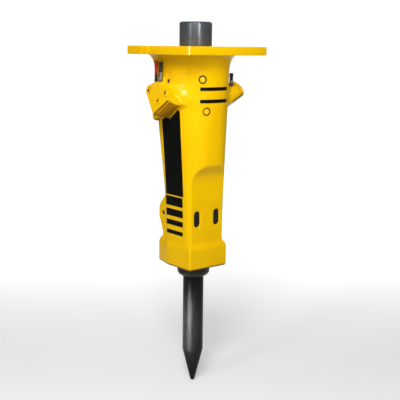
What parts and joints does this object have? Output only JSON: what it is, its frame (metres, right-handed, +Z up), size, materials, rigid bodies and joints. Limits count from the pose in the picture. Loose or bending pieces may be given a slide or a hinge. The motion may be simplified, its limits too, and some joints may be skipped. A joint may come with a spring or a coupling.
{
  "type": "hydraulic breaker hammer",
  "caption": "Top-mounted hydraulic breaker hammer: cast body with an adapter flange, hose bosses, gas cap, sliding piston and a moil point tool held by retainer bars.",
  "frame": {"origin": "on the tool axis, at the top face of the adapter flange", "axes": "+Z up along the tool axis, away from the tool point; -Y is the front, where the retainer bars go in; the left hose boss is at -X"},
  "size_m": [0.3377, 0.299, 1.1368],
  "materials": {
    "yellow_paint": "glossy yellow machine paint over a cast surface",
    "cap_grey": "satin dark grey paint",
    "tool_steel": "dark forged and turned steel, semi-matt",
    "ground_steel": "ground and polished hardened steel",
    "bushing_steel": "blackened steel, lightly oiled",
    "zinc_steel": "zinc plated steel",
    "bushing_bronze": "bearing bronze",
    "seal_rubber": "matt black rubber",
    "black_plastic": "black moulded dust cap",
    "red_plastic": "red moulded dust cap"
  },
  "bodies": {
    "casing": {"breaker_body": "yellow_paint", "adapter_flange": "yellow_paint", "boss_cover_left": "yellow_paint", "boss_cover_right": "yellow_paint", "front_plug_upper": "yellow_paint", "front_plug_lower": "yellow_paint", "gas_cap": "cap_grey", "charging_valve": "zinc_steel", "seal_carrier": "ground_steel", "gas_seal": "seal_rubber", "oil_seal": "seal_rubber", "piston_seal": "seal_rubber", "valve_sleeve": "ground_steel", "valve_plug": "zinc_steel", "thrust_ring": "bushing_steel", "upper_bushing": "bushing_bronze", "lower_bushing": "bushing_steel", "dust_wiper": "seal_rubber", "bushing_pin": "zinc_steel", "grease_nipple": "zinc_steel", "retainer_bar_left": "bushing_steel", "retainer_bar_right": "bushing_steel", "lock_pin": "zinc_steel", "lock_pin_plug_left": "seal_rubber", "lock_pin_plug_right": "seal_rubber", "cover_screw_left_1": "yellow_paint", "cover_screw_left_2": "yellow_paint", "cover_screw_left_3": "yellow_paint", "port_adapter_left": "zinc_steel", "port_cap_left": "black_plastic", "test_port_left": "black_plastic", "test_port_cap_left": "red_plastic", "bleed_plug_left": "bushing_bronze", "cover_screw_right_1": "yellow_paint", "cover_screw_right_2": "yellow_paint", "cover_screw_right_3": "yellow_paint", "port_adapter_right": "zinc_steel", "port_cap_right": "black_plastic", "test_port_right": "black_plastic", "test_port_cap_right": "black_plastic", "bleed_plug_right": "bushing_bronze"},
    "tool": {"working_tool": "tool_steel"},
    "piston": {"piston": "ground_steel"},
    "spool": {"valve_spool": "ground_steel"}
  },
  "joints": [
    {"name": "tool_slide", "type": "slide", "parent": "casing", "child": "tool", "axis": [0, 0, 1], "range_m": [0, 0.05]},
    {"name": "piston_slide", "type": "slide", "parent": "casing", "child": "piston", "axis": [0, 0, 1], "range_m": [0, 0.058]},
    {"name": "spool_slide", "type": "slide", "parent": "casing", "child": "spool", "axis": [0, 0, 1], "range_m": [0, 0.009]}
  ]
}
